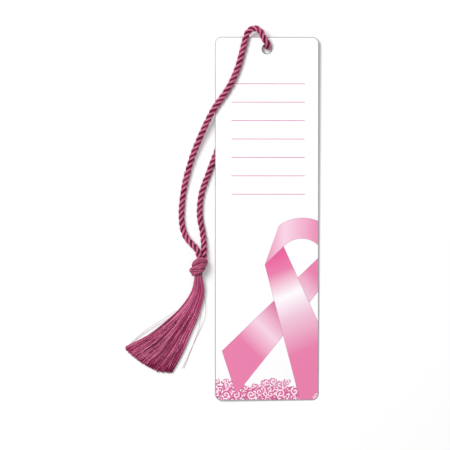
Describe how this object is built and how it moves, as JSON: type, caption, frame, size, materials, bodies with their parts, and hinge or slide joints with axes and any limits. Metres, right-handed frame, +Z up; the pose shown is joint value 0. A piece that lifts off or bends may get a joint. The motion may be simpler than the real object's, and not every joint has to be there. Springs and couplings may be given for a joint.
{
  "type": "bookmark",
  "caption": "Flat laminated card with rounded corners, a punched hole and a twisted cord looped through it, knotted beside the card into a fanned thread tassel, to mark a page in a book.",
  "frame": {"origin": "on the table under the middle of the card, which lies face up on its back strand of cord and one corner", "axes": "+Y along the card towards the hole, +X to the right across its front, +Z up, out of its front face"},
  "size_m": [0.0955, 0.1833, 0.0083],
  "materials": {
    "printed_card": "satin",
    "clear_film": "gloss",
    "cord": "satin",
    "thread": "satin"
  },
  "bodies": {
    "card": {"card_core": "printed_card", "front_film": "clear_film", "back_film": "clear_film"},
    "loop": {"cord_loop": "cord"},
    "knot": {"tassel_knot": "cord"},
    "skirt": {"tassel_skirt": "thread"}
  },
  "joints": [
    {"name": "loop_swing", "type": "hinge", "parent": "card", "child": "loop", "pos_m": [0.00004, 0.08299, 0.00345], "axis": [0.0296, -0.0144, 0.9995], "range_deg": [-170, 1]},
    {"name": "knot_swing", "type": "hinge", "parent": "loop", "child": "knot", "pos_m": [-0.0335, -0.0233, 0.00415], "axis": [0, 0, 1], "range_deg": [-60, 8]},
    {"name": "skirt_lift", "type": "hinge", "parent": "knot", "child": "skirt", "pos_m": [-0.0335, -0.02955, 0.00355], "axis": [-1, 0, 0], "range_deg": [0, 75]}
  ]
}
